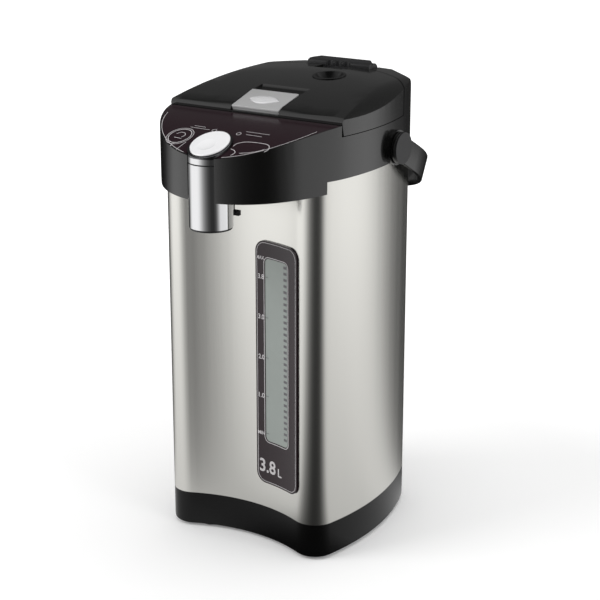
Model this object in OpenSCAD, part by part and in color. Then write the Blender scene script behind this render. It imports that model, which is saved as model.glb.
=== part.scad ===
// Electric thermo pot with a hinged lid, a spout with a press button, a level gauge and a bail handle.
// Millimetres, +Z up. The origin is on the floor, below the widest line of the body; -Y is the front.

/* [Body plan] */
// Half of the greatest width of the steel sleeve
body_half_w = 82.5; // [80:0.5:86]
// Radius of the bowed sides
side_r = 218; // [205:1:240]
// Radius of the hollow front face
front_r = 125.3; // [118:0.1:134]
// Distance of the middle of the front face ahead of the origin
front_depth = 52.8; // [52:0.1:55]
// Radius of the two front corners
front_corner_r = 17.7; // [15:0.1:20]
// Distance of the rear face behind the origin
rear_depth = 103; // [102:0.5:106]
// Radius of the gently bowed rear face
rear_r = 250; // [230:1:300]
// Radius of the two rear corners
rear_corner_r = 35; // [30:0.5:38]

/* [Heights] */
// Top of the black base, where the steel sleeve starts
base_top = 30.5; // [29:0.5:34]
// Clearance of the base above the floor
base_lift = 2; // [1.5:0.1:2.5]
// Lower edge of the head beside the sleeve
collar_z = 309; // [308:0.5:311]
// Depth of the sleeve inside the head's groove
sleeve_tuck = 3; // [2:0.1:3.5]
// Lower edge of the lid's skirt
lid_seam_z = 341.6; // [341:0.1:343]
// Height of the panel and lid edge where they meet
crease_z = 349.5; // [348:0.1:351]

/* [Head] */
// How far the head stands proud of the sleeve
head_lip = 1; // [0.8:0.1:1.4]
// Distance of the nose tip ahead of the origin
nose_reach = 114.6; // [112:0.1:117]
// Radius of the nose tip
nose_r = 72.5; // [70:0.1:75]
// Distance ahead of the origin where the sides start to draw in to the nose
nose_start = 35; // [32:0.5:38]
// Height of the panel at the nose tip
nose_top_z = 329.3; // [328:0.1:332]
// Radius of the panel's slope
panel_r = 186; // [170:1:210]
// Distance ahead of the origin where the panel meets the lid
panel_back = 43.6; // [43:0.1:44]
// Distance ahead of the origin of the step down to the nose
step_y = 57; // [56:0.5:58]
// Underside of the nose at the step
nose_low_z = 299.6; // [298:0.1:301]
// Fall of the nose underside towards its tip, per millimetre
nose_fall = 0.059; // [0.03:0.001:0.08]
// Height of the rim of the nose's underside tray
tray_h = 3.2; // [2.8:0.1:4]
// Wall of the head
head_wall = 2.4; // [2:0.1:2.6]
// Thickness of the printed panel overlay
overlay_t = 1.5; // [1:0.1:1.8]
// Thickness of the skin below the overlay
skin_t = 2.2; // [1.8:0.1:2.6]
// Underside of the deck round the mouth
deck_z = 325.5; // [325:0.1:326]
// Thickness of the deck
deck_t = 2.5; // [2:0.1:2.8]

/* [Lid] */
// Height of the lid's edge at its highest
edge_z = 357.5; // [357:0.1:358]
// Distance behind the origin of the edge's highest place
edge_y = 62; // [56:1:68]
// Radius of the edge's lengthwise curve
edge_r = 757; // [720:1:800]
// Width of the rounded shoulder above the edge
shoulder_w = 20; // [17:0.5:23]
// Height of the shoulder
shoulder_h = 10.3; // [9.8:0.1:10.8]
// Rise of the lid from its shoulders to its middle
crown_h = 2.3; // [2.2:0.1:2.4]
// Width of the rounded rear edge
rear_shoulder_w = 14; // [12:0.5:15]
// How far the lid's front edge is rounded
front_round = 9.6; // [8:0.1:10]
// Height of the lid's highest line
dome_z = 370.8; // [370.4:0.1:371.2]
// Distance behind the origin of the lid's highest line
dome_y = 84; // [80:1:88]
// Radius of the lid's lengthwise curve
dome_r = 540; // [500:5:580]
// Radius of the lid's round rear edge
lid_rear_r = 110.6; // [108:0.2:113]
// Distance behind the origin of the lid's rear edge
lid_rear_y = 84; // [83:0.1:85]
// Wall of the lid
lid_wall = 2.2; // [1.8:0.1:2.4]
// Distance of the hinge axis behind the origin
hinge_y = 88; // [87.5:0.1:88.5]
// Height of the hinge axis
hinge_z = 367.6; // [367.5:0.1:367.7]
// Radius of the hinge pin
hinge_pin_r = 1.2; // [1:0.1:1.2]
// Width of the hinge bridge
bridge_w = 59; // [56:0.5:62]
// Height of the hinge bridge's finger tab
bridge_top = 374.4; // [373.8:0.1:375]
// Steam vent's place to the right of the middle
vent_x = 16; // [14:0.5:18]
// Steam vent's place behind the origin
vent_y = 40; // [38:0.5:42]
// Radius of the steam cap
vent_r = 13.4; // [12:0.1:14]
// Radius of the steam passage
steam_r = 6.6; // [5:0.1:7]
// How far the lid's plug stays inside the mouth's opening
plug_inset = 7; // [6.5:0.1:8]

/* [Lid latch] */
// Width of the latch plate
latch_w = 43; // [40:0.5:46]
// Slope of the latch plate, in degrees
latch_slope = 15.6; // [14.5:0.1:16.5]
// Front edge of the latch plate, ahead of the origin
latch_front = 42.2; // [42:0.1:42.3]
// Rear edge of the latch plate, ahead of the origin
latch_back = 13.4; // [12:0.1:15]
// Top of the latch plate at its front edge
latch_z = 354.9; // [354.7:0.1:355.1]
// Thickness of the latch plate
latch_t = 1.8; // [1.5:0.1:2]
// Radius of the latch pin
latch_pin_r = 1; // [0.8:0.1:1.2]

/* [Spout and button] */
// Radius of the chrome spout housing
spout_r = 16.8; // [15.5:0.1:17.5]
// Distance of the spout axis ahead of the origin
spout_y = 101.3; // [100.5:0.1:102]
// Wall of the spout housing
spout_wall = 2; // [1.5:0.1:2.4]
// Lower edge of the spout housing
spout_low_z = 275; // [272:0.5:280]
// Upper edge of the spout housing
spout_high_z = 323.8; // [323:0.1:324.5]
// Thickness of the dark seal on the housing
seal_t = 1; // [0.6:0.1:1.2]
// Height of the chrome ring above the seal
ring_h = 4.2; // [3.5:0.1:4.5]
// Radius of the button's disc
button_r = 15.1; // [13.5:0.1:15.3]
// Height of the button's disc on its axis
button_z = 338.5; // [337.5:0.1:339]
// Slope of the button's disc, in degrees
button_slope = 22; // [19:0.5:23]
// Travel of the button
button_travel = 2.5; // [2:0.1:2.6]
// Radius of the button's stem
stem_r = 4.5; // [4:0.1:5]
// Radius of the outlet pipe
outlet_r = 5; // [4:0.1:5.5]

/* [Cup lever] */
// Width of the lever's foot
lever_w = 24; // [20:1:26]
// Height of the lever's foot
lever_foot_h = 4; // [3:0.5:6]
// Width of the lever's stem
lever_stem_w = 7; // [5:0.5:9]
// Distance of the lever's pin ahead of the origin
lever_y = 80; // [79.5:0.1:80.5]
// Height of the lever's pin
lever_pin_z = 306; // [305.5:0.1:307]
// Lower end of the lever
lever_low_z = 280; // [279:1:286]
// Radius of the lever's pin
lever_pin_r = 1.5; // [1.2:0.1:1.8]

/* [Handle] */
// Distance of the handle's pivot behind the origin
pivot_y = 32; // [30:0.5:34]
// Height of the handle's pivot
pivot_z = 320; // [318:0.5:321]
// Radius of the pivot boss
boss_r = 13.8; // [12:0.1:14]
// Radius of the pivot pin
pivot_pin_r = 4; // [3.5:0.1:4.5]
// How far the grip would stand behind the body, held level
grip_gap = 24; // [23:0.5:26]
// Thickness of the handle's strap
strap_t = 3.4; // [3:0.1:3.8]
// Width of the handle's strap
strap_w = 20.5; // [18:0.5:22]
// Outer radius of the handle's corners
bail_corner_r = 68; // [62:1:69]
// Room between the head's side and the handle
handle_gap = 1.4; // [1.3:0.1:1.8]
// Droop of the handle below the horizontal at rest, in degrees
droop = 28; // [25:0.5:30]

/* [Level gauge] */
// Left edge of the gauge panel, from the middle
gauge_x0 = 7.7; // [6:0.1:9]
// Right edge of the gauge panel
gauge_x1 = 53.3; // [51:0.1:55]
// Lower end of the gauge panel
gauge_z0 = 52.2; // [50:0.1:56]
// Upper end of the gauge panel
gauge_z1 = 255; // [250:0.5:260]
// Corner radius of the gauge panel
gauge_corner = 9; // [6:0.5:11]
// Thickness of the gauge panel
gauge_t = 1.4; // [1:0.1:1.8]
// Left edge of the gauge window
window_x0 = 17.1; // [16:0.1:18]
// Right edge of the gauge window
window_x1 = 41.8; // [40:0.1:43]
// Lower end of the gauge window
window_z0 = 89.1; // [86:0.1:92]
// Upper end of the gauge window
window_z1 = 241.3; // [238:0.1:244]
// Radius of the level tube and the delivery tube
tube_r = 4; // [3.5:0.1:4.2]
// Distance of both tubes from the middle
tube_x = 29.5; // [28:0.5:31]
// Distance of both tubes ahead of the origin
tube_y = 50.4; // [50:0.1:50.6]
// Wall of the tubes
tube_wall = 1.2; // [0.8:0.1:1.5]

/* [Tank and pump] */
// Least room between the sleeve and the tank at the sides
tank_side_gap = 9.5; // [9.3:0.1:12]
// Room between the sleeve and the tank at the front
tank_front_gap = 4.3; // [4.2:0.1:5]
// Room between the sleeve and the tank at the rear
tank_rear_gap = 5.5; // [5:0.1:7]
// Underside of the tank
tank_z0 = 66; // [64:0.5:70]
// Rim of the tank
tank_z1 = 306; // [305:0.1:306.5]
// Wall of the tank
tank_wall = 0.8; // [0.5:0.1:1]
// How far the deck reaches over the tank's rim
mouth_inset = 7; // [6.5:0.1:7.5]
// Radius of the heater plate
heater_r = 48; // [44:0.5:49]
// Thickness of the heater plate
heater_t = 5; // [4:0.5:6]
// Radius of the pump housing
pump_r = 18; // [16:0.5:18.5]
// Distance of the pump's axis ahead of the origin
pump_y = 24; // [23:0.5:25]
// Radius of the pump's motor
motor_r = 14; // [12:0.5:15]
// Radius of the motor shaft
shaft_r = 1.5; // [1.2:0.1:2]
// Number of impeller vanes
vane_count = 6; // [4:1:8]

/* [Walls and clearances] */
// Thickness of the steel sleeve
sleeve_t = 0.8; // [0.6:0.1:1]
// Wall of the base
base_wall = 3; // [2.5:0.1:3.5]
// Radius of the base's rounded lower edge
base_edge_r = 3.4; // [2.5:0.1:4]
// Radial clearance of pins and stems that turn or slide
run_gap = 0.05; // [0.03:0.01:0.08]
// Clearance between parts that slip together
fit_gap = 0.25; // [0.2:0.01:0.3]
// Visible gap round the lid
lid_gap = 0.6; // [0.5:0.05:0.7]
// Gap between the lid's round rear edge and the rear cover
lid_rear_gap = 0.8; // [0.7:0.05:1]
// Radius of the rubber feet
foot_r = 9; // [7:0.5:10]

/* [Hidden] */

$fn = 72;
big = 400;
black = [0.05, 0.05, 0.05];
plum = [0.16, 0.12, 0.15];
steel = [0.72, 0.71, 0.68];
chrome = [0.85, 0.85, 0.86];
rubber = [0.12, 0.12, 0.12];
silicone = [0.85, 0.85, 0.82];

tank_r = min(body_half_w - tank_side_gap, (rear_depth + front_depth - tank_front_gap - tank_rear_gap) / 2);
tank_y = tank_r + tank_front_gap - front_depth;
mouth_r = tank_r - mouth_inset;
plug_r = mouth_r - plug_inset;
grip_reach = rear_depth - pivot_y + grip_gap;

// ---- Plan curves: chains of arcs that touch ----
function on_arc(c, r, a) = [c[0] + r * cos(a), c[1] + r * sin(a)];
function arc(c, r, a0, a1, n) = [for (i = [0:n]) on_arc(c, r, a0 + (a1 - a0) * i / n)];
function heading(p, q) = atan2(q[1] - p[1], q[0] - p[0]);
// The crossing of two circles that lies to the right of the line from p to q, or to its left with side -1
function meet(p, rp, q, rq, side = 1) =
    let(d = norm(q - p), a = (rp * rp - rq * rq + d * d) / (2 * d), h = side * sqrt(rp * rp - a * a),
        u = (q - p) / d)
    [p[0] + a * u[0] + h * u[1], p[1] + a * u[1] - h * u[0]];
// A right-hand half outline and its mirror image, as one closed outline
function both_sides(half) =
    concat(half, [for (i = [len(half) - 1:-1:0]) if (half[i][0] > 0.001) [-half[i][0], half[i][1]]]);

side_c = [body_half_w - side_r, 0];
front_c = [0, -front_depth - front_r];
rear_c = [0, rear_depth - rear_r];
front_corner_c = meet(side_c, side_r - front_corner_r, front_c, front_r + front_corner_r, -1);
rear_corner_c = meet(side_c, side_r - rear_corner_r, rear_c, rear_r - rear_corner_r, -1);

// The sleeve's outline, drawn in by d
function rear_half(d, a0) =
    concat(arc(side_c, side_r - d, a0, heading(side_c, rear_corner_c), 12),
           arc(rear_corner_c, rear_corner_r - d, heading(side_c, rear_corner_c),
               heading(rear_c, rear_corner_c), 8),
           arc(rear_c, rear_r - d, heading(rear_c, rear_corner_c), 90, 4));
function body_plan(d) =
    both_sides(concat(
        arc(front_c, front_r + d, 90, heading(front_c, front_corner_c), 10),
        arc(front_corner_c, front_corner_r - d, heading(front_corner_c, front_c),
            heading(side_c, front_corner_c), 10),
        rear_half(d, heading(side_c, front_corner_c))));

// The head's outline: the sleeve's rear, then a flank and a round nose
head_side_r = side_r + head_lip;
nose_c = [0, nose_r - nose_reach];
flank_a = -asin(nose_start / head_side_r);
flank_u = [cos(flank_a), sin(flank_a)];
flank_k = (pow(head_side_r - nose_r, 2) - pow(norm(side_c - nose_c), 2))
          / (2 * (flank_u * (side_c - nose_c) + head_side_r - nose_r));
flank_c = side_c + flank_k * flank_u;
flank_r = head_side_r - flank_k;
nose_a = heading(flank_c, nose_c);
function head_plan(d) =
    both_sides(concat(
        arc(nose_c, nose_r - d, -90, nose_a, 14),
        arc(flank_c, flank_r - d, nose_a, flank_a, 10),
        rear_half(d - head_lip, flank_a)));

// ---- Side view of the panel and the nose ----
panel_a = [-panel_back, crease_z];
panel_b = [-nose_reach, nose_top_z];
panel_half = norm(panel_a - panel_b) / 2;
panel_u = (panel_a - panel_b) / (2 * panel_half);
panel_c = (panel_a + panel_b) / 2 + sqrt(panel_r * panel_r - panel_half * panel_half) * [panel_u[1], -panel_u[0]];
function panel_z(y, drop = 0) =
    panel_c[1] + sqrt(pow(panel_r - drop, 2) - pow(y - panel_c[0], 2));
front_end = nose_reach + 6;
function panel_curve(y0, y1, drop) =
    [for (i = [0:12]) let(y = y0 + (y1 - y0) * i / 12) [y, panel_z(y, drop)]];
function nose_low(y) = nose_low_z - nose_fall * (-step_y - y);

// ---- Side view of the dome ----
function dome_top(y, drop) = dome_z - dome_r + sqrt(pow(dome_r - drop, 2) - pow(y - dome_y, 2));
function edge_top(y) = edge_z - edge_r + sqrt(edge_r * edge_r - pow(y - edge_y, 2));
lid_rear_c = lid_rear_y - lid_rear_r;
swing_r = norm([panel_back - lid_gap + hinge_y, hinge_z - crease_z]);

module prism(outline, z0, z1) {
    translate([0, 0, z0]) linear_extrude(z1 - z0) polygon(outline);
}
// An outline of (y, z) points, carried across the width
module across(outline, w = big, x = 0) {
    translate([x, 0, 0]) rotate([90, 0, 90]) linear_extrude(w, center = true) polygon(outline);
}
module post(x, y, r, z0, z1) {
    translate([x, y, z0]) cylinder(r = r, h = z1 - z0);
}
module tube(x, y, r, wall, z0, z1) {
    difference() {
        post(x, y, r, z0, z1);
        post(x, y, r - wall, z0 - 1, z1 + 1);
    }
}
// A cylinder across the width, from x0 to x1
module axle(r, y, z, x0, x1) {
    translate([x0, y, z]) rotate([0, 90, 0]) cylinder(r = r, h = x1 - x0);
}
// A barrel round a line across the width at (y, z); the outline has points of (x, radius)
module barrel(outline, y, z) {
    translate([0, y, z]) rotate([0, 90, 0]) rotate_extrude($fn = 360) polygon([for (p = outline) [p[1], p[0]]]);
}
module block(x0, x1, y0, y1, z0, z1) {
    translate([x0, y0, z0]) cube([x1 - x0, y1 - y0, z1 - z0]);
}
// A round bar between two points, with ball ends
module bar(p, q, r) {
    d = q - p;
    translate(p) rotate([0, acos(d[2] / norm(d)), atan2(d[1], d[0])]) cylinder(r = r, h = norm(d));
}
module ball(p, r) {
    translate(p) sphere(r = r);
}

// ---- Base ----
base_steps = 4;
plate_top = base_lift + 3.2;
lip_top = base_top + 5.5;
module base_shell() color(black) {
    inlet_w = 17;
    difference() {
        union() {
            for (i = [0:base_steps - 1]) {
                a = 90 * (i + 0.5) / base_steps;
                prism(body_plan(base_edge_r * (1 - sin(a))),
                      base_lift + base_edge_r * (1 - cos(90 * i / base_steps)),
                      base_lift + base_edge_r * (1 - cos(90 * (i + 1) / base_steps)));
            }
            prism(body_plan(0), base_lift + base_edge_r, base_top);
            prism(body_plan(sleeve_t + fit_gap), base_top, lip_top);
        }
        prism(body_plan(base_edge_r + 0.8), base_lift - 1, plate_top);
        prism(body_plan(base_edge_r + 2), plate_top - 1, base_top);
        prism(body_plan(base_wall), base_top - 1, lip_top + 1);
        block(-inlet_w - fit_gap, inlet_w + fit_gap, rear_depth - 20, rear_depth + 5,
              inlet_z - 10 - fit_gap, lip_top + 1);
    }
}
screw_spots = [[-58, -32], [58, -32], [-52, 72], [52, 72]];
module base_plate() color(black) difference() {
    union() {
        prism(body_plan(base_edge_r + 0.8 + fit_gap), base_lift, plate_top);
        for (p = screw_spots) post(p[0], p[1], 4.5, base_lift, plate_top + 8);
    }
    for (p = screw_spots) {
        post(p[0], p[1], 3.6, base_lift - 1, base_lift + 2);
        post(p[0], p[1], 1.8, base_lift - 1, plate_top + 9);
    }
}
module base_screws() color(steel) for (p = screw_spots) {
    post(p[0], p[1], 3.4, base_lift + 0.2, base_lift + 2);
    post(p[0], p[1], 1.75, base_lift + 1, plate_top + 7);
}
foot_spots = [[-44, -46], [44, -46], [-36, 84], [36, 84]];
module rubber_feet() color(rubber) for (p = foot_spots) post(p[0], p[1], foot_r, 0, base_lift);

inlet_z = 19;
module power_inlet() color(black) {
    inlet_half = 17;
    difference() {
        block(-inlet_half, inlet_half, rear_depth - 16, rear_depth - 0.4, inlet_z - 10, base_top - 0.15);
        block(-inlet_half + 2.5, inlet_half - 2.5, rear_depth - 12, rear_depth + 1,
              inlet_z - 7.5, inlet_z + 6.5);
    }
    for (x = [-8, 0, 8])
        translate([x, rear_depth - 3, inlet_z]) rotate([90, 0, 0]) cylinder(r = 1.6, h = 10);
}
board_z = plate_top + 6.5;
board_x = 6;
board_w = 52;
board_l = 54;
board_t = 1.6;
board_y0 = tank_y - 16.5;
board_edge = 4;
module power_board() translate([board_x, board_y0, 0]) {
    color([0.15, 0.4, 0.2]) {
        block(0, board_w, 0, board_l, board_z, board_z + board_t);
        for (x = [board_edge, board_w - board_edge], y = [board_edge, board_l - board_edge])
            post(x, y, 2.2, plate_top, board_z);
    }
    color([0.8, 0.6, 0.2]) translate([0, 0, board_z + board_t - 0.01]) {
        block(6, 26, board_l / 2 - 3, board_l - 6, 0, 17.4);
        block(board_w - 20, board_w - 6, board_l - 24, board_l - 6, 0, 12.4);
        cylinder_at(board_w - 13, 14, 6, 15.4);
        cylinder_at(16, 12, 4.5, 11.4);
    }
}
module cylinder_at(x, y, r, h) translate([x, y, 0]) cylinder(r = r, h = h);

// ---- Sleeve and gauge ----
module rounded_slot(x0, x1, z0, z1, r) {
    translate([0, -front_depth + 10, 0]) rotate([90, 0, 0]) linear_extrude(40) union() {
        translate([x0 + r, z0]) square([x1 - x0 - 2 * r, z1 - z0]);
        translate([x0, z0 + r]) square([x1 - x0, z1 - z0 - 2 * r]);
        for (x = [x0 + r, x1 - r], z = [z0 + r, z1 - r]) translate([x, z]) circle(r = r);
    }
}
// A band that follows the hollow front face, from depth d0 to d1 ahead of it
module front_band(d0, d1, z0, z1) {
    translate([front_c[0], front_c[1], 0]) difference() {
        translate([0, 0, z0]) cylinder(r = front_r - d0, h = z1 - z0, $fn = 180);
        translate([0, 0, z0 - 1]) cylinder(r = front_r - d1, h = z1 - z0 + 2, $fn = 180);
    }
}
sleeve_top = collar_z + sleeve_tuck - 0.2;
slot_edge = 2;
module outer_sleeve() color(steel) difference() {
    prism(body_plan(0), base_top, sleeve_top);
    prism(body_plan(sleeve_t), base_top - 1, sleeve_top + 1);
    rounded_slot(window_x0 + slot_edge, window_x1 - slot_edge, window_z0 + slot_edge,
                 window_z1 - slot_edge, 2);
    // Passage of the delivery tube into the nose
    block(-tube_x - 9, -tube_x + 12, -front_depth - 20, -front_depth + 10, pipe_z - 6, sleeve_top + 1);
}
front_gap = 0.12;
module gauge_panel() color(plum) difference() {
    intersection() {
        front_band(front_gap, gauge_t, gauge_z0 - 1, gauge_z1 + 1);
        rounded_slot(gauge_x0, gauge_x1, gauge_z0, gauge_z1, gauge_corner);
    }
    rounded_slot(window_x0, window_x1, window_z0, window_z1, 4);
}
module gauge_window() color([0.62, 0.66, 0.62, 0.6]) intersection() {
    front_band(front_gap, gauge_t - 0.3, window_z0 - 1, window_z1 + 1);
    rounded_slot(window_x0 + 0.15, window_x1 - 0.15, window_z0 + 0.15, window_z1 - 0.15, 3.9);
}
hose_r = tube_r + 0.8;
hose_low = tank_z0 - 12;
hose_top = window_z0 - 3;
level_port_y = 30;
// The bend from the tank's floor to the foot of the level tube
module level_hose() color(silicone) {
    p = [tube_x, -level_port_y, hose_low];
    q = [tube_x, -tube_y, hose_low];
    bar(p, [p[0], p[1], tank_z0], hose_r);
    ball(p, hose_r);
    bar(p, q, hose_r);
    ball(q, hose_r);
    bar(q, [q[0], q[1], hose_top], hose_r);
}
level_top = tank_z1 - 8;
module level_tube() color([0.8, 0.88, 0.9, 0.5]) tube(tube_x, -tube_y, tube_r, tube_wall, hose_top, level_top);
module level_cap() color(silicone) {
    post(tube_x, -tube_y, hose_r, level_top, level_top + 6);
    bar([tube_x, -tube_y, level_top + 3], [tube_x, tank_front(tube_x - 2) - 0.3, level_top + 3], 2);
}
// Front of the tank at a distance x from the middle
function tank_front(x) = tank_y - sqrt(tank_r * tank_r - x * x);

// ---- Tank, heater and pump ----
tank_c = [0, tank_y];
rim_r = tank_r + 2;
rim_t = 0.8;
gasket_t = 2.4;
module inner_tank() color(steel) difference() {
    union() {
        post(0, tank_y, tank_r, tank_z0, tank_z1);
        post(0, tank_y, rim_r, tank_z1 - rim_t, tank_z1);
    }
    post(0, tank_y, tank_r - tank_wall, tank_z0 + tank_wall, tank_z1 + 1);
    post(-tube_x, -pump_y, 4, tank_z0 - 1, tank_z0 + 2);
    post(tube_x, -level_port_y, 3, tank_z0 - 1, tank_z0 + 2);
}
module tank_gasket() color(silicone) tube(0, tank_y, rim_r, 4.5, tank_z1, tank_z1 + gasket_t);
ring_z = tank_z1 + gasket_t;
seat_z = deck_z - 1.8;
lip_z = seat_z - 2.5;
module mouth_ring() color([0.75, 0.75, 0.75]) tube(0, tank_y, rim_r, rim_r - tank_r + 3, ring_z, lip_z);
// The seat of the lid's gasket
module mouth_lip() color([0.75, 0.75, 0.75]) difference() {
    post(0, tank_y, rim_r, lip_z, deck_z);
    post(0, tank_y, mouth_r, seat_z, deck_z + 1);
    post(0, tank_y, plug_r - 5.5, lip_z - 1, seat_z + 1);
}
module heater_plate() color([0.75, 0.75, 0.77]) difference() {
    post(0, tank_y, heater_r, tank_z0 - heater_t, tank_z0);
    for (a = [0:120:240])
        translate([heater_r * 0.6 * cos(a), tank_y + heater_r * 0.6 * sin(a), tank_z0 - heater_t - 1])
            cylinder(r = 2, h = 3);
}
module warming_band() color([0.6, 0.55, 0.45]) tube(0, tank_y, tank_r + 1.4, 1.2, tank_z0 + 24, tank_z0 + 54);
module thermostats() color([0.25, 0.25, 0.28]) for (x = [-13, 13]) {
    post(x, tank_y - 8, 7.5, tank_z0 - heater_t - 5, tank_z0 - heater_t);
    post(x, tank_y - 8, 5, tank_z0 - heater_t - 10, tank_z0 - heater_t - 5);
}
module thermal_fuse() color([0.85, 0.75, 0.6])
    translate([-14, tank_y + 18, tank_z0 - heater_t - 2.2]) rotate([0, 90, 0]) cylinder(r = 2.2, h = 28);
post_spots = [for (a = [55, 125, 215, 335]) [(tank_r - 7) * cos(a), tank_y + (tank_r - 7) * sin(a)]];
module tank_posts() color(black) for (p = post_spots) {
    post(p[0], p[1], 4.5, plate_top, tank_z0);
    post(p[0], p[1], 8, plate_top, plate_top + 3);
    post(p[0], p[1], 6, tank_z0 - 3, tank_z0);
}
motor_z0 = plate_top + 3;
motor_z1 = motor_z0 + 25;
pump_z1 = motor_z1 + 17;
pump_mid = motor_z1 + 9;
module motor_cushion() color(rubber) tube(-tube_x, -pump_y, motor_r + 1, 5, plate_top, motor_z0);
module pump_motor() color([0.7, 0.7, 0.7]) difference() {
    post(-tube_x, -pump_y, motor_r, motor_z0, motor_z1);
    post(-tube_x, -pump_y, motor_r - 1.6, motor_z0 + 3, motor_z1 - 3);
    post(-tube_x, -pump_y, shaft_r + run_gap, motor_z0 + 1, motor_z1 + 1);
}
module pump_housing() color([0.9, 0.9, 0.86]) difference() {
    union() {
        post(-tube_x, -pump_y, pump_r, motor_z1, pump_z1);
        post(-tube_x, -pump_y, 6, pump_z1, pump_z1 + 6);
        bar([-tube_x, -pump_y, pump_mid], [-tube_x, -tube_y + tube_r + 0.5, pump_mid], tube_r + 0.6);
    }
    post(-tube_x, -pump_y, pump_r - 2, motor_z1 + 3, pump_z1 - 3);
    post(-tube_x, -pump_y, shaft_r + run_gap, motor_z1 - 1, motor_z1 + 4);
    post(-tube_x, -pump_y, 4, pump_z1 - 4, pump_z1 + 7);
    bar([-tube_x, -pump_y - pump_r + 4, pump_mid], [-tube_x, -tube_y + tube_r - 1, pump_mid], tube_r - tube_wall);
}
module impeller() color([0.3, 0.3, 0.32]) translate([-tube_x, -pump_y, 0]) difference() {
    union() {
        translate([0, 0, motor_z1 + 4]) cylinder(r = pump_r - 4, h = 1.6);
        translate([0, 0, motor_z1 + 4]) cylinder(r = 4, h = 9);
        for (i = [0:vane_count - 1]) rotate([0, 0, 360 * i / vane_count])
            translate([2.5, -0.6, motor_z1 + 4]) cube([pump_r - 7, 1.2, 8]);
    }
    translate([0, 0, motor_z1 + 3]) cylinder(r = shaft_r, h = 8);
}
module motor_shaft() color(steel) post(-tube_x, -pump_y, shaft_r, motor_z0 + 1.2, motor_z1 + 11);
module motor_rotor() color([0.55, 0.4, 0.3])
    tube(-tube_x, -pump_y, motor_r - 3, motor_r - 3 - shaft_r, motor_z0 + 4, motor_z1 - 4);
module suction_hose() color(silicone) tube(-tube_x, -pump_y, 6, 2, pump_z1 + 6, tank_z0);
pipe_z = 306;
module delivery_tube() color(silicone) difference() {
    post(-tube_x, -tube_y, tube_r, pump_mid - 4, pipe_z);
    post(-tube_x, -tube_y, tube_r - tube_wall, pump_mid, pipe_z + 1);
    bar([-tube_x, -tube_y, pump_mid], [-tube_x, 0, pump_mid], tube_r - tube_wall);
}
module spout_pipe() color(silicone) {
    p = [-tube_x, -tube_y, pipe_z + tube_r];
    q = [0, -spout_y, pipe_z + tube_r];
    post(p[0], p[1], tube_r, pipe_z, pipe_z + 2 * tube_r);
    bar(p, q, tube_r - 0.4);
    post(q[0], q[1], tube_r, nozzle_top, pipe_z + 2 * tube_r);
}
nozzle_top = 300;
nozzle_low = spout_low_z - 1.6;
module outlet_nozzle() color(black) difference() {
    union() {
        post(0, -spout_y, spout_r - 0.8, nozzle_low, spout_low_z);
        post(0, -spout_y, spout_r - spout_wall - fit_gap, spout_low_z - 0.5, spout_low_z + 3);
        post(0, -spout_y, outlet_r + 1.2, spout_low_z, nozzle_top);
    }
    post(0, -spout_y, outlet_r - 1, nozzle_low - 1, nozzle_top + 1);
}

// ---- Head ----
pocket_back = panel_back + 2.4;
hollow_z = collar_z + sleeve_tuck;
rear_cover_z = deck_z + deck_t;
module head_block() intersection() {
    prism(head_plan(0), nose_low(-front_end) - 5, crease_z + 5);
    across(concat(
        [[-front_end, nose_low(-front_end) + tray_h], [-step_y, nose_low(-step_y) + tray_h],
         [-step_y, collar_z], [rear_depth + 9, collar_z], [rear_depth + 9, lid_seam_z - lid_gap],
         [-panel_back, lid_seam_z - lid_gap]],
        panel_curve(-panel_back, -front_end, 0)));
}
module handle_boss() for (s = [-1, 1]) scale([s, 1, 1]) difference() {
    axle(boss_r, pivot_y, pivot_z, body_half_w - 5.5, strap_x0 - 0.4);
    axle(pivot_pin_r + 0.03, pivot_y, pivot_z, body_half_w - 7, strap_x0 + 1);
    prism(body_plan(-fit_gap + 0.05), 0, hollow_z);
}
boss_x = body_half_w + head_lip;
strap_x0 = boss_x + handle_gap;
module head_housing() color(black) {
    difference() {
        head_block();
        // Hollow of the nose
        intersection() {
            prism(head_plan(head_wall), nose_low(-front_end) - 6, crease_z);
            across(concat(
                [[-front_end, 0], [-pocket_back, 0]],
                panel_curve(-pocket_back, -front_end, overlay_t + skin_t)));
        }
        // Hollow round the mouth, below and above the deck
        intersection() {
            prism(head_plan(head_wall), collar_z - 1, deck_z);
            block(-big, big, -pocket_back - 1, big, 0, big);
        }
        intersection() {
            prism(head_plan(head_wall), rear_cover_z, crease_z + 9);
            block(-big, big, -panel_back, big, 0, big);
        }
        prism(body_plan(-fit_gap + 0.05), 0, hollow_z);
        post(0, tank_y, mouth_r, deck_z - 1, rear_cover_z + 1);
        // Seat of the overlay
        intersection() {
            prism(head_plan(0.9), 0, crease_z + 9);
            across(concat([[-panel_back - 0.2, crease_z + 9], [-front_end, crease_z + 9]],
                          panel_curve(-front_end, -panel_back - 0.2, overlay_t)));
        }
        post(0, -spout_y, spout_r + fit_gap + 0.15, 0, big);
        // Seat of the rear cover
        difference() {
            block(-big, big, 40, big, rear_cover_z, crease_z);
            post(0, lid_rear_c, lid_rear_r + lid_rear_gap, 0, big);
        }
        for (s = [-1, 1]) scale([s, 1, 1])
            axle(boss_r - 1, pivot_y, pivot_z, body_half_w - 5, boss_x + 2);
    }
    handle_boss();
}
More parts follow.
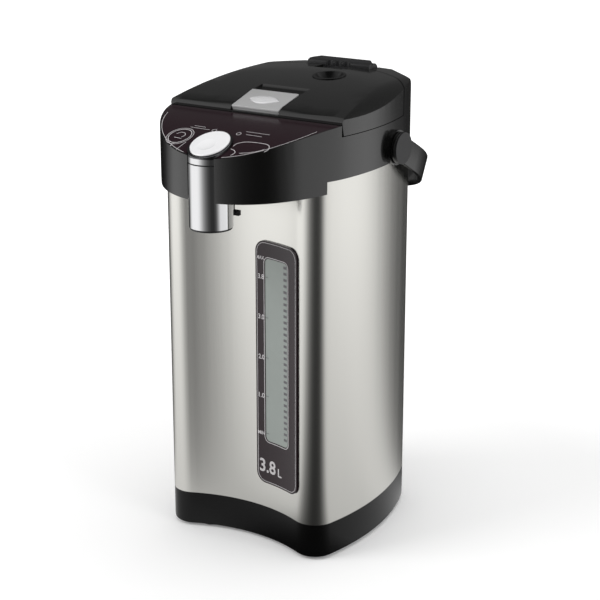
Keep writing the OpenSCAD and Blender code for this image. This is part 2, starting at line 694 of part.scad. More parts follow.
module nose_tray() color(black) difference() {
    intersection() {
        prism(head_plan(0.1), 0, big);
        across([[-front_end, nose_low(-front_end)], [-step_y, nose_low(-step_y)],
                [-step_y, nose_low(-step_y) + tray_h], [-front_end, nose_low(-front_end) + tray_h]]);
    }
    intersection() {
        prism(head_plan(head_wall), 0, big);
        across([[-front_end, nose_low(-front_end) + 1.8], [-step_y + 5, nose_low(-step_y + 5) + 1.8],
                [-step_y + 5, big], [-front_end, big]]);
    }
    prism(body_plan(-0.3), 0, big);
    post(0, -spout_y, spout_r + fit_gap, 0, big);
    block(lever_stem_x - lever_stem_w / 2 - 1, lever_stem_x + lever_stem_w / 2 + 1, -lever_y - 4.2, -lever_y + 5, 0, big);
}
module control_panel() color(plum) difference() {
    intersection() {
        prism(head_plan(1), 0, big);
        across(concat(panel_curve(-panel_back - 0.3, -front_end, 0),
                      panel_curve(-front_end, -panel_back - 0.3, overlay_t)));
    }
    post(0, -spout_y, spout_r + fit_gap + 0.2, 0, big);
}
board_y = 63;
board_slope = atan((panel_z(-board_y + 10) - panel_z(-board_y - 10)) / 20);
module panel_board() translate([0, -board_y, panel_z(-board_y, overlay_t + skin_t + 5.4)]) rotate([board_slope, 0, 0]) {
    color([0.15, 0.4, 0.2]) block(-42, 42, -13, 13, -1.6, 0);
    color([0.8, 0.8, 0.78]) {
        for (x = [-39, 39], y = [-10, 10]) post(x, y, 2, -0.1, 4.6);
        for (x = [-30, 30]) block(x - 3, x + 3, -3, 3, -0.1, 3.4);
        for (x = [-12, 0, 12]) post(x, 5, 1.5, -0.1, 3.6);
    }
}

// ---- Spout and button ----
module spout_housing() color(chrome) difference() {
    post(0, -spout_y, spout_r, spout_low_z, spout_high_z);
    post(0, -spout_y, spout_r - spout_wall, spout_low_z - 1, spout_high_z + 1);
    // Passage of the pipe
    block(-tube_r - 11, tube_r + 2, -spout_y, -spout_y + spout_r + 2, pipe_z - 1, pipe_z + 2 * tube_r + 1);
}
ring_z0 = spout_high_z + seal_t;
ring_z1 = ring_z0 + ring_h;
flange_t = 1.6;
guide_low = ring_z0 - 5;
module spout_seal() color(rubber) tube(0, -spout_y, spout_r - 0.7, 3.5, spout_high_z, ring_z0);
module spout_ring() color(chrome) difference() {
    union() {
        post(0, -spout_y, spout_r, ring_z0, ring_z1);
        post(0, -spout_y, stem_r + 2, guide_low, ring_z0 + 0.5);
    }
    post(0, -spout_y, spout_r - 1.4, ring_z0 + flange_t, ring_z1 + 1);
    post(0, -spout_y, stem_r + run_gap, guide_low - 1, ring_z1);
}
// Everything below the slanted plane of the button, at height z on the axis
module below_slant(z) translate([0, -spout_y, z]) rotate([button_slope, 0, 0])
    translate([-big / 2, -big / 2, -big]) cube([big, big, big]);
bezel_z = button_z - 1.7;
module button_bezel() color(rubber) intersection() {
    tube(0, -spout_y, spout_r, spout_r - button_r - fit_gap, ring_z1, button_z + 20);
    below_slant(bezel_z);
}
button_low = ring_z0 + flange_t + button_travel + 0.3;
cap_t = 1.2;
spring_r = 8.4;
spring_wire = 1;
spring_top = button_low + 3;
clip_z = guide_low - 1.2;
module dispense_button() color(rubber) difference() {
    union() {
        intersection() {
            post(0, -spout_y, button_r, button_low, button_z + 20);
            below_slant(button_z - cap_t);
        }
        post(0, -spout_y, stem_r, clip_z - 1, button_low + 1);
        post(0, -spout_y, stem_r + 1.5, clip_z, clip_z + 1);
    }
    difference() {
        post(0, -spout_y, spring_r + 1.4, button_low - 1, spring_top);
        post(0, -spout_y, spring_r - 1.4, button_low - 2, spring_top + 1);
    }
}
module button_cap() color([0.9, 0.9, 0.9]) difference() {
    intersection() {
        post(0, -spout_y, button_r, button_low, button_z + 20);
        below_slant(button_z);
    }
    below_slant(button_z - cap_t);
}
module button_spring() color(steel) {
    coils = 5;
    pitch = (spring_top - ring_z0 - flange_t - spring_wire) / (coils - 1);
    for (i = [0:coils - 1])
        translate([0, -spout_y, ring_z0 + flange_t + spring_wire / 2 + pitch * i])
            rotate_extrude() translate([spring_r, 0]) circle(r = spring_wire / 2, $fn = 16);
}

// ---- Cup lever ----
lever_x0 = -4;
lever_x1 = 10;
lever_stem_x = (lever_x0 + lever_x1) / 2;
module cup_lever() color(black) difference() {
    union() {
        block(-lever_w / 2, lever_w / 2, -lever_y - 2.6, -lever_y + 0.4, lever_low_z, lever_low_z + lever_foot_h);
        block(lever_stem_x - lever_stem_w / 2, lever_stem_x + lever_stem_w / 2, -lever_y - 2.6, -lever_y + 0.4,
              lever_low_z + 1, lever_pin_z);
        axle(lever_pin_r + 1.7, -lever_y, lever_pin_z, lever_x0, lever_x1);
        block(lever_x0, lever_x1, -lever_y - 1, -lever_y + 7, lever_pin_z + 1, lever_pin_z + 2.6);
    }
    axle(lever_pin_r + run_gap, -lever_y, lever_pin_z, lever_x0 - 1, lever_x1 + 1);
}
module lever_pin() color(steel) {
    axle(lever_pin_r, -lever_y, lever_pin_z, lever_x0 - 2.6, lever_x1 + 2.6);
    for (x = [lever_x0 - 2.6, lever_x1 + 0.4])
        block(x, x + 2.2, -lever_y - 1.8, -lever_y + 2.4, nose_low(-lever_y + 2.4) + 1.82, lever_pin_z + 1.8);
}
module lever_switch() color([0.2, 0.2, 0.22]) {
    block(lever_x0, lever_x1 - 2, -lever_y + 9.5, -lever_y + 16, nose_low(-lever_y + 16) + 1.85, lever_pin_z + 1);
    block(3, 6, -lever_y + 8, -lever_y + 10, lever_pin_z - 3.4, lever_pin_z - 1);
}

// ---- Lid ----
shoulder_steps = 6;
crown_steps = 12;
// Rise of a rounded shoulder of height h at the part u of its width; tail is what is left of its slope at its end
function bulge(u, h, tail = 0) = h * (tail * u + (1 - tail) * (1 - pow(1 - u, 2)));
// Half of the lid's cross-section: a shoulder, then the crown; d draws in the wall and drop lowers the roof
function cross_half(r, d, drop) = let(w = boss_x - shoulder_w) concat(
    [for (i = [0:shoulder_steps]) let(u = i / shoulder_steps)
        [w + (shoulder_w - d) * (1 - u), r - drop + bulge(u, shoulder_h, 0.14)]],
    [for (i = [1:crown_steps / 2]) let(x = w * (1 - 2 * i / crown_steps))
        [x, r + shoulder_h - drop + crown_h * (1 - pow(x / w, 2))]]);
function cross(r, d, drop) = let(half = cross_half(r, d, drop)) concat(
    [[boss_x - d, 0]], half,
    [for (i = [len(half) - 2:-1:0]) [-half[i][0], half[i][1]]], [[d - boss_x, 0]]);
// The rounded rear edge, as an outline of (y, z) whose wall is at y
rear_edge_h = dome_top(rear_depth, 0) - edge_top(rear_depth);
function rear_edge(y, d, drop) = concat([[-big, 0], [y - d, 0]],
    [for (i = [0:shoulder_steps]) let(u = i / shoulder_steps)
        [y - rear_shoulder_w + (rear_shoulder_w - d) * (1 - u),
         edge_top(rear_depth) - drop + bulge(u, rear_edge_h)]],
    [[y - rear_shoulder_w - 1, big], [-big, big]]);
// The rounded front edge, as an outline of (y, z)
front_z0 = crease_z + 1.8;
front_y1 = front_round - panel_back;
front_rise = dome_top(front_y1, 0) + 0.1 - front_z0;
front_tail = (dome_top(front_y1 + 1, 0) - dome_top(front_y1, 0)) * front_round;
function front_edge(d, drop) = concat([[-panel_back + d, 0]],
    [for (i = [0:shoulder_steps]) let(u = i / shoulder_steps)
        [-panel_back + d + front_round * u,
         front_z0 - drop + front_tail * u + (front_rise - front_tail) * (1 - pow(1 - u, 3))]],
    [[front_y1 + d + 1, big], [big, big], [big, 0]]);
corner_a = (heading(side_c, rear_corner_c) + heading(rear_c, rear_corner_c)) / 2;
corner_reach = rear_corner_c * [cos(corner_a), sin(corner_a)] + rear_corner_r + head_lip;
// The head's outline under a crowned roof
module dome(d, drop) intersection() {
    prism(head_plan(d), rear_cover_z, dome_z + 20);
    barrel(cross(edge_r, d, drop), edge_y, edge_z - edge_r);
    barrel([[-boss_x, 0], [boss_x, 0], [boss_x, dome_r - drop - 1.6], [boss_x * 0.6, dome_r - drop - 0.6],
            [boss_x * 0.25, dome_r - drop], [-boss_x * 0.25, dome_r - drop],
            [-boss_x * 0.6, dome_r - drop - 0.6], [-boss_x, dome_r - drop - 1.6]], dome_y, dome_z - dome_r);
    across(front_edge(d, drop), big * 2);
    across(rear_edge(rear_depth + head_lip, d, drop), big * 2);
    rotate([0, 0, corner_a - 90]) across(rear_edge(corner_reach, d, drop), big * 2);
    rotate([0, 0, 90 - corner_a]) across(rear_edge(corner_reach, d, drop), big * 2);
}
module lid_space(d) intersection() {
    post(0, lid_rear_c, lid_rear_r - d, 0, big * 2);
    axle(swing_r - d, hinge_y, hinge_z, -big / 2, big / 2);
    block(-big, big, -big, big, lid_seam_z, big * 2);
}
function latch_top(y) = latch_z + (y + latch_front) * tan(latch_slope);
latch_axis = [-latch_front + 2.9, latch_z - 2.7];
well_x = latch_w / 2 + 0.6;
well_floor = 344.6;
well_wall = 1.7;
scoop_r = 11;
bridge_floor = hinge_z - 7.4;
bridge_y0 = lid_rear_y - 7;
release_y0 = bridge_y0 - 13.5;
vent_seat = 359.5;
module lid_shell() color(black) difference() {
    union() {
        difference() {
            intersection() { dome(0, 0); lid_space(0); }
            intersection() { dome(lid_wall, lid_wall); lid_space(lid_wall); }
            block(-big, big, -big, big, 0, lid_seam_z + 1);
        }
        intersection() {
            difference() {
                dome(0, 0);
                block(-big, big, -big, big, 0, lid_seam_z);
            }
            lid_space(0);
            union() {
                block(-big, big, -big, big, lid_seam_z, lid_seam_z + 2);
                block(-well_x - well_wall, well_x + well_wall, -panel_back, -latch_back + 17, well_floor - 1, big);
                post(vent_x, vent_y, vent_r + 2, vent_seat - 2, big);
                block(-bridge_w / 2 - 2.2, bridge_w / 2 + 2.2, release_y0 - 2, big, bridge_floor - 2, big);
            }
        }
    }
    // The skirt stays open below
    intersection() {
        dome(lid_wall, lid_wall);
        lid_space(lid_wall);
        block(-big, big, -big, big, 0, lid_seam_z + 2.2);
    }
    prism(head_plan(lid_wall), 0, lid_seam_z - 0.01);
    // Well of the latch, and the finger scoop behind it
    block(-well_x, well_x, -panel_back + lid_wall, -latch_back + 0.6, well_floor, big);
    block(-well_x, well_x, -big, -latch_back, latch_axis[1] - 1.2, big);
    axle(scoop_r, -latch_back + 6.4, latch_top(-latch_back) + 8.2, -well_x, well_x);
    axle(latch_pin_r + 0.03, latch_axis[0], latch_axis[1], -well_x - well_wall, well_x + well_wall);
    // Steam vent
    post(vent_x, vent_y, vent_r + 0.2, vent_seat, big);
    post(vent_x, vent_y, steam_r + 1.75, 0, big);
    // Recess of the release and seat of the hinge bridge
    block(-13.2, 13.2, release_y0, bridge_y0 + 1, bridge_floor + 0.4, big);
    block(-bridge_w / 2 - 0.3, bridge_w / 2 + 0.3, bridge_y0, big, bridge_floor, big);
}
cover_z = lid_seam_z + 0.2;
cover_t = 1.8;
plug_low = seat_z + 2.8;
module lid_inner_cover() color([0.8, 0.8, 0.8]) difference() {
    union() {
        intersection() {
            prism(head_plan(lid_wall + 0.2), cover_z, cover_z + cover_t);
            post(0, lid_rear_c, lid_rear_r - lid_wall - 0.2, 0, big);
            axle(swing_r - lid_wall - 0.2, hinge_y, hinge_z, -big / 2, big / 2);
        }
        post(0, tank_y, plug_r, plug_low, lid_seam_z - 0.3);
        intersection() {
            post(0, tank_y, plug_r, lid_seam_z - 1, cover_z + 0.1);
            post(0, lid_rear_c, lid_rear_r - lid_wall - 0.2, 0, big);
        }
    }
    post(0, tank_y, plug_r - 1.5, plug_low + 1.5, cover_z + cover_t + 1);
    post(vent_x, vent_y, steam_r, 0, big);
}
module lid_gasket() color(silicone) tube(0, tank_y, plug_r + 1.5, 6, seat_z + 0.2, plug_low);
module steam_tube() color([0.7, 0.7, 0.68]) tube(vent_x, vent_y, steam_r + 1.5, 1.5, plug_low + 1.5, vent_seat - 0.2);
module steam_cap() color(black) difference() {
    intersection() {
        post(vent_x, vent_y, vent_r, vent_seat, big);
        dome(0, -0.6);
    }
    post(vent_x, vent_y, 5.5, 0, big);
    translate([vent_x, vent_y, dome_top(vent_y, 0) + 5]) sphere(r = 12);
}
release_w = 23.6;
module hinge_release() color([0.4, 0.4, 0.4]) {
    block(-release_w / 2, release_w / 2, release_y0 + 1, release_y0 + 8.5, bridge_floor + 0.7, bridge_floor + 4);
    for (x = [-7.5, -2.5, 2.5, 7.5])
        block(x - 1.2, x + 1.2, release_y0 + 1, release_y0 + 8.5, bridge_floor + 3.5, bridge_floor + 5.6);
}
knuckle_r = 5.4;
bridge_r = 11.8;
module hinge_bridge() color(black) difference() {
    union() {
        axle(knuckle_r, hinge_y, hinge_z, -bridge_w / 2, bridge_w / 2);
        block(-bridge_w / 2, bridge_w / 2, bridge_y0 + 0.3, hinge_y, bridge_floor, hinge_z);
        finger_tab();
    }
    axle(hinge_pin_r + run_gap, hinge_y, hinge_z, -big / 2, big / 2);
    for (x = [-8, 0, 8]) scallop(x);
}
// A wedge that rises and narrows towards the rear
module finger_tab() intersection() {
    w = bridge_w / 2;
    prism(both_sides([[w, bridge_y0 + 2.5], [w, bridge_y0 + 7], [w - 1.6, bridge_y0 + 10], [w - 5, bridge_y0 + 14],
                      [w - 9, hinge_y + 7]]), hinge_z - 0.5, bridge_top + 1);
    across([[hinge_y + 7, hinge_z - 1], [hinge_y + 7, bridge_top - 1.6], [hinge_y + 4, bridge_top],
            [bridge_y0 + 6, bridge_top - 1], [bridge_y0 + 3.4, bridge_top - 1.9], [bridge_y0 + 2.5, bridge_top - 3],
            [bridge_y0 + 2.5, hinge_z - 1]], bridge_w + 2);
}
// One scallop in the front of the finger tab
module scallop(x) translate([x, bridge_y0 + 1.6, hinge_z + 1.7]) cylinder(r = 3.6, h = 9);
cheek_w = 6;
module rear_cover() color(black) difference() {
    union() {
        difference() {
            intersection() {
                dome(0, 0);
                block(-big, big, 40, big, rear_cover_z, big);
            }
            post(0, lid_rear_c, lid_rear_r + lid_rear_gap, 0, big);
            intersection() {
                dome(head_wall, lid_wall);
                difference() {
                    block(-big, big, 40, big, rear_cover_z - 1, big);
                    post(0, lid_rear_c, lid_rear_r + lid_rear_gap + 2, 0, big);
                }
            }
        }
        intersection() {
            dome(0, 0);
            difference() {
                block(-bridge_w / 2 - cheek_w, bridge_w / 2 + cheek_w, 40, big, hinge_z - 15, big);
                post(0, lid_rear_c, lid_rear_r + lid_rear_gap, 0, big);
            }
        }
    }
    axle(bridge_r + 0.5, hinge_y, hinge_z, -bridge_w / 2 - 0.35, bridge_w / 2 + 0.35);
    axle(hinge_pin_r + 0.03, hinge_y, hinge_z, -bridge_w / 2 - cheek_w + 1.5, bridge_w / 2 + cheek_w - 1.5);
}
module hinge_pin() color(steel)
    axle(hinge_pin_r, hinge_y, hinge_z, -bridge_w / 2 - cheek_w + 1.6, bridge_w / 2 + cheek_w - 1.6);

// ---- Latch ----
module lid_latch() color([0.75, 0.75, 0.76]) difference() {
    union() {
        across([[-latch_front, latch_top(-latch_front)], [-latch_front, latch_top(-latch_front) - latch_t],
                [-latch_back, latch_top(-latch_back) - latch_t], [-latch_back, latch_top(-latch_back)]], latch_w);
        for (x = [-15, 15]) axle(2, latch_axis[0], latch_axis[1], x - 2.5, x + 2.5);
        block(-5, 5, latch_axis[0] - 1.3, latch_axis[0] + 0.9, latch_axis[1] - 7, latch_axis[1] + 2.2);
        block(-17.5, 17.5, latch_axis[0] - 0.9, latch_axis[0] + 0.9, latch_axis[1] + 0.9, latch_axis[1] + 2.2);
    }
    axle(latch_pin_r + run_gap, latch_axis[0], latch_axis[1], -big / 2, big / 2);
}
badge_y = -29;
badge_l = 14;
badge_w = 7;
badge_r = 20;
// A lens of two arcs with round ends
module latch_badge() color(chrome) translate([0, badge_y, latch_top(badge_y)]) rotate([latch_slope, 0, 0])
    intersection() {
        cylinder(r = badge_l, h = 1);
        lens();
    }
module lens() intersection() {
    translate([0, badge_r - badge_w, 0]) cylinder(r = badge_r, h = 1);
    translate([0, badge_w - badge_r, 0]) cylinder(r = badge_r, h = 1);
}
module latch_pin() color(steel) axle(latch_pin_r, latch_axis[0], latch_axis[1], -well_x - well_wall + 0.3, well_x + well_wall - 0.3);

// ---- Handle ----
module bail_outline(d) {
    r = bail_corner_r - d;
    c = [strap_x0 + strap_t - bail_corner_r, grip_reach - bail_corner_r];
    polygon(concat([[-c[0] - r, -20], [c[0] + r, -20]], arc(c, r, 0, 90, 12),
                   [for (p = arc(c, r, 90, 0, 12)) [-p[0], p[1]]]));
}
module carry_handle() color(black) translate([0, pivot_y, pivot_z]) rotate([-droop, 0, 0]) difference() {
    union() {
        intersection() {
            translate([0, 0, -strap_w / 2]) linear_extrude(strap_w) difference() {
                bail_outline(0);
                bail_outline(strap_t);
            }
            block(-big, big, 0, big, -big, big);
        }
        for (s = [-1, 1]) scale([s, 1, 1]) axle(boss_r - 1.2, 0, 0, strap_x0, strap_x0 + strap_t);
    }
    for (s = [-1, 1]) scale([s, 1, 1]) axle(pivot_pin_r + run_gap, 0, 0, strap_x0 - 1, strap_x0 + strap_t + 1);
}
module handle_pins() color(black) for (s = [-1, 1]) scale([s, 1, 1]) {
    axle(pivot_pin_r, pivot_y, pivot_z, body_half_w - 4, strap_x0 + strap_t + 0.3);
    axle(boss_r - 1.3, pivot_y, pivot_z, strap_x0 + strap_t + 0.2, strap_x0 + strap_t + 1.4);
}

base_shell();
base_plate();
rubber_feet();
base_screws();
outer_sleeve();
power_inlet();
power_board();
tank_posts();
inner_tank();
tank_gasket();
heater_plate();
warming_band();
thermostats();
thermal_fuse();
motor_cushion();
pump_motor();
pump_housing();
impeller();
motor_shaft();
motor_rotor();
suction_hose();
delivery_tube();
spout_pipe();
outlet_nozzle();
level_hose();
level_tube();
level_cap();
gauge_panel();
gauge_window();
head_housing();
nose_tray();
control_panel();
panel_board();
mouth_ring();
mouth_lip();
spout_housing();
spout_seal();
spout_ring();
button_bezel();
dispense_button();
button_cap();
button_spring();
cup_lever();
lever_pin();
lever_switch();
rear_cover();
hinge_pin();
lid_shell();
lid_inner_cover();
lid_gasket();
steam_tube();
steam_cap();
hinge_bridge();
hinge_release();
lid_latch();
latch_badge();
latch_pin();
carry_handle();
handle_pins();
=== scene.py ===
"""Looks of the electric thermo pot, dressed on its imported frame."""
import math

import bmesh
import bpy
from mathutils import Matrix, Vector


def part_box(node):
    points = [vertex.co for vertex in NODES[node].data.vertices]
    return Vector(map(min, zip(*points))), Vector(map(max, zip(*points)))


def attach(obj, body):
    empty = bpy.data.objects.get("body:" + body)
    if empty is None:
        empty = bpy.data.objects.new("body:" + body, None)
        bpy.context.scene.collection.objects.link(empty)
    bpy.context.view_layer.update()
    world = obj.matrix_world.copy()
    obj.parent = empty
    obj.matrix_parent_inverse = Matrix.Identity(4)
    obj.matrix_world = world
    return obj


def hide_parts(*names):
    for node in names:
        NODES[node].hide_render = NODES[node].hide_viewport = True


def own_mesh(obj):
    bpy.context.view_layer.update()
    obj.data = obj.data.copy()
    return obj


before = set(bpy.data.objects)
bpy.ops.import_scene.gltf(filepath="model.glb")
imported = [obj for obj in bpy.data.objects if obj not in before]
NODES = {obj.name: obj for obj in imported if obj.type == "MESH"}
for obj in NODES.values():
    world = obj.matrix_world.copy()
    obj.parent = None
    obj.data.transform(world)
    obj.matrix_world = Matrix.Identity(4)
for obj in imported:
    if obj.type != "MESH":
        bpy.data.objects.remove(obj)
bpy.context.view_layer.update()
MM = 0.001  # the pieces' points are written in millimetres


# ---------------------------------------------------------------- camera, stage and light
LENS, SENSOR = 98.98, 36  # mm
CAMERA_AT = (.7008, -1.0712, .5975)  # m
CAMERA_RIGHT = (.8418, .5397, 0)
CAMERA_UP = (-.1640, .2557, .9527)
CAMERA_BACK = (.5142, -.8020, .3038)

# What polished surfaces mirror, by compass angle from the front (right is positive): two tall soft boxes
STUDIO = [(-180, .04), (-160, .02), (-138, .015), (-114, .015), (-101, .07), (-90, .34), (-80, .76),
          (-69, .97), (-36, .98), (-26, .90), (-14, .60), (-4, .34), (8, .16), (20, .07), (33, .03),
          (46, .03), (57, .08), (66, .28), (79, .78), (112, .86), (128, .98), (138, .95), (145, .78),
          (151, .52), (157, .30), (165, .13), (180, .04)]
SKY = .105  # what a surface that looks upwards mirrors between the soft boxes
ZENITH = {"From Min": .55, "From Max": .95, "To Min": 1, "To Max": .35}  # the soft boxes fade upwards
WORLD_LIGHT = .55  # strength of the world on matt surfaces; the camera sees it at 1

FLOOR_HALF = 6  # m
FLOOR_COLOR, FLOOR_ROUGH, FLOOR_SPEC = (.93, .93, .93, 1), .9, .1
# By the distance from the pot in metres: how much lighter the camera sees the floor, and how much of the
# soft boxes the floor passes on to what mirrors it
FLOOR_GLOW = {"From Min": .30, "From Max": 1, "To Min": .14, "To Max": .62}
FLOOR_MIRROR = {"From Min": .12, "From Max": 1.1, "To Min": .66, "To Max": 1}

LAMP_TARGET = (0, 0, .2)
LAMPS = [("key", (-1.3, -1.5, 1.7), (1.2, 1.2), 20),  # name, place and size in metres, power in watts
         ("top", (.1, .2, 2), (1.6, 1.6), 12),
         ("right", (1.9, -.3, 1), (.8, 1.6), 8)]


def link(o):
    """Puts an object in the scene."""
    bpy.context.scene.collection.objects.link(o)
    return o


def make_camera():
    """The photograph's viewpoint."""
    data = bpy.data.cameras.new("camera")
    data.sensor_width = SENSOR
    data.lens = LENS
    data.clip_end = 20
    cam = link(bpy.data.objects.new("camera", data))
    rot = Matrix((CAMERA_RIGHT, CAMERA_UP, CAMERA_BACK)).transposed().to_4x4()
    cam.matrix_world = Matrix.Translation(CAMERA_AT) @ rot
    bpy.context.scene.camera = cam


def node(nt, kind, values=None, **settings):
    """A new shader node, with its own settings and the values of its inputs."""
    n = nt.nodes.new("ShaderNode" + kind)
    for k, v in settings.items():
        setattr(n, k, v)
    for k, v in (values or {}).items():
        n.inputs[k].default_value = v
    return n


def math_node(nt, operation, *inputs):
    """The result of a sum on numbers and sockets."""
    n = node(nt, "Math", operation=operation)
    for i, v in enumerate(inputs):
        if isinstance(v, (int, float)):
            n.inputs[i].default_value = v
        else:
            nt.links.new(v, n.inputs[i])
    return n.outputs[0]


def studio(nt, vector):
    """The brightness that a mirror finds in the direction of a vector's azimuth, and the vector's height."""
    sep = node(nt, "SeparateXYZ")
    nt.links.new(vector, sep.inputs[0])
    azimuth = math_node(nt, "ARCTAN2", sep.outputs["X"], math_node(nt, "MULTIPLY", sep.outputs["Y"], -1))
    turn = node(nt, "MapRange", {"From Min": -math.pi, "From Max": math.pi})
    nt.links.new(azimuth, turn.inputs["Value"])
    ramp = node(nt, "ValToRGB")
    stops = ramp.color_ramp.elements
    for i, (angle, v) in enumerate(STUDIO):
        at = (angle + 180) / 360
        stop = stops[0] if i == 0 else stops.new(at) if i < len(STUDIO) - 1 else stops[len(stops) - 1]
        stop.position = at
        stop.color = (v, v, v, 1)
    nt.links.new(turn.outputs[0], ramp.inputs["Fac"])
    return ramp.outputs["Color"], sep.outputs["Z"]


def floor_material():
    """Pale and matt, with the soft boxes in what mirrors it."""
    m = bpy.data.materials.new("floor")
    m.use_nodes = True
    nt = m.node_tree
    matt = nt.nodes["Principled BSDF"]
    matt.inputs["Base Color"].default_value = FLOOR_COLOR
    matt.inputs["Roughness"].default_value = FLOOR_ROUGH
    matt.inputs["Specular IOR Level"].default_value = FLOOR_SPEC
    rays = node(nt, "LightPath")
    place = node(nt, "NewGeometry").outputs["Position"]
    distance = node(nt, "VectorMath", operation="LENGTH")
    nt.links.new(place, distance.inputs[0])

    glow = node(nt, "MapRange", FLOOR_GLOW)
    nt.links.new(distance.outputs["Value"], glow.inputs["Value"])
    white = node(nt, "Emission", {"Color": (1, 1, 1, 1)})
    nt.links.new(math_node(nt, "MULTIPLY", rays.outputs["Is Camera Ray"], glow.outputs[0]),
                 white.inputs["Strength"])
    seen = node(nt, "AddShader")
    nt.links.new(matt.outputs[0], seen.inputs[0])
    nt.links.new(white.outputs[0], seen.inputs[1])

    far = node(nt, "MapRange", FLOOR_MIRROR)
    nt.links.new(distance.outputs["Value"], far.inputs["Value"])
    mirrored = node(nt, "Emission")
    nt.links.new(studio(nt, place)[0], mirrored.inputs["Color"])
    nt.links.new(far.outputs[0], mirrored.inputs["Strength"])

    mix = node(nt, "MixShader")
    nt.links.new(rays.outputs["Is Glossy Ray"], mix.inputs[0])
    nt.links.new(seen.outputs[0], mix.inputs[1])
    nt.links.new(mirrored.outputs[0], mix.inputs[2])
    nt.links.new(mix.outputs[0], nt.nodes["Material Output"].inputs[0])
    return m


def make_floor():
    """A wide floor under the pot."""
    me = bpy.data.meshes.new("floor")
    s = FLOOR_HALF
    me.from_pydata([(-s, -s, 0), (s, -s, 0), (s, s, 0), (-s, s, 0)], [], [(0, 1, 2, 3)])
    floor = link(bpy.data.objects.new("floor", me))
    me.materials.append(floor_material())


def make_world():
    """White to the camera, plain light on matt surfaces, and the soft boxes in polished ones."""
    world = bpy.data.worlds.new("world")
    bpy.context.scene.world = world
    world.use_nodes = True
    nt = world.node_tree
    background = nt.nodes["Background"]
    background.inputs["Color"].default_value = (1, 1, 1, 1)
    rays = node(nt, "LightPath")
    seen = math_node(nt, "MAXIMUM", rays.outputs["Is Camera Ray"], rays.outputs["Is Transmission Ray"])
    plain = math_node(nt, "ADD", math_node(nt, "MULTIPLY", seen, 1 - WORLD_LIGHT), WORLD_LIGHT)
    boxes, height = studio(nt, node(nt, "TexCoord").outputs["Generated"])
    fade = node(nt, "MapRange", ZENITH)
    nt.links.new(height, fade.inputs["Value"])
    mirrored = math_node(nt, "MAXIMUM", math_node(nt, "MULTIPLY", boxes, fade.outputs[0]), SKY)
    mix = node(nt, "Mix")
    nt.links.new(rays.outputs["Is Glossy Ray"], mix.inputs["Factor"])
    nt.links.new(plain, mix.inputs["A"])
    nt.links.new(mirrored, mix.inputs["B"])
    nt.links.new(mix.outputs["Result"], background.inputs["Strength"])


def make_lamps():
    """Soft area lamps, which polished surfaces don't mirror."""
    for name, place, size, power in LAMPS:
        data = bpy.data.lights.new(name, "AREA")
        data.shape = "RECTANGLE"
        data.size, data.size_y = size
        data.energy = power
        o = link(bpy.data.objects.new(name, data))
        o.location = place
        o.rotation_euler = (Vector(LAMP_TARGET) - Vector(place)).to_track_quat("-Z", "Y").to_euler()
        o.visible_glossy = False


# ---------------------------------------------------------------- materials
COAT_ROUGH = .04
MOTTLE_SCALE, MOTTLE_DETAIL = 38, 5
GRAIN_DETAIL = 3
BUMP_DISTANCE = .0004  # m


def shader(name, color, rough, metal=0.0, coat=0.0, spec=0.5, grain=900, grain_h=.02, mottle=.08,
           stretch=(1, 1, 1), rough_var=.06, aniso=0.0, transmission=0.0):
    """A moulded, painted or metal surface: mottled colour, varied roughness and a fine grain in the bump."""
    m = bpy.data.materials.new(name)
    m.use_nodes = True
    nt = m.node_tree
    b = nt.nodes["Principled BSDF"]
    for k, v in (("Metallic", metal), ("Coat Weight", coat), ("Coat Roughness", COAT_ROUGH),
                 ("Specular IOR Level", spec), ("Anisotropic", aniso), ("Transmission Weight", transmission)):
        b.inputs[k].default_value = v
    place = node(nt, "Mapping", {"Scale": stretch})
    nt.links.new(node(nt, "TexCoord").outputs["Object"], place.inputs["Vector"])

    clouds = node(nt, "TexNoise", {"Scale": MOTTLE_SCALE, "Detail": MOTTLE_DETAIL})
    nt.links.new(place.outputs[0], clouds.inputs["Vector"])
    tint = node(nt, "Mix", data_type="RGBA")
    tint.inputs["A"].default_value = (*[max(0, v * (1 - mottle)) for v in color], 1)
    tint.inputs["B"].default_value = (*[min(1, v * (1 + mottle)) for v in color], 1)
    nt.links.new(clouds.outputs["Fac"], tint.inputs["Factor"])
    nt.links.new(tint.outputs["Result"], b.inputs["Base Color"])
    gloss = node(nt, "MapRange", {"To Min": max(.01, rough - rough_var / 2), "To Max": min(1, rough + rough_var)})
    nt.links.new(clouds.outputs["Fac"], gloss.inputs["Value"])
    nt.links.new(gloss.outputs[0], b.inputs["Roughness"])

    if grain_h:
        fine = node(nt, "TexNoise", {"Scale": grain, "Detail": GRAIN_DETAIL})
        nt.links.new(place.outputs[0], fine.inputs["Vector"])
        bump = node(nt, "Bump", {"Strength": grain_h, "Distance": BUMP_DISTANCE})
        nt.links.new(fine.outputs["Fac"], bump.inputs["Height"])
        nt.links.new(bump.outputs[0], b.inputs["Normal"])
    return m


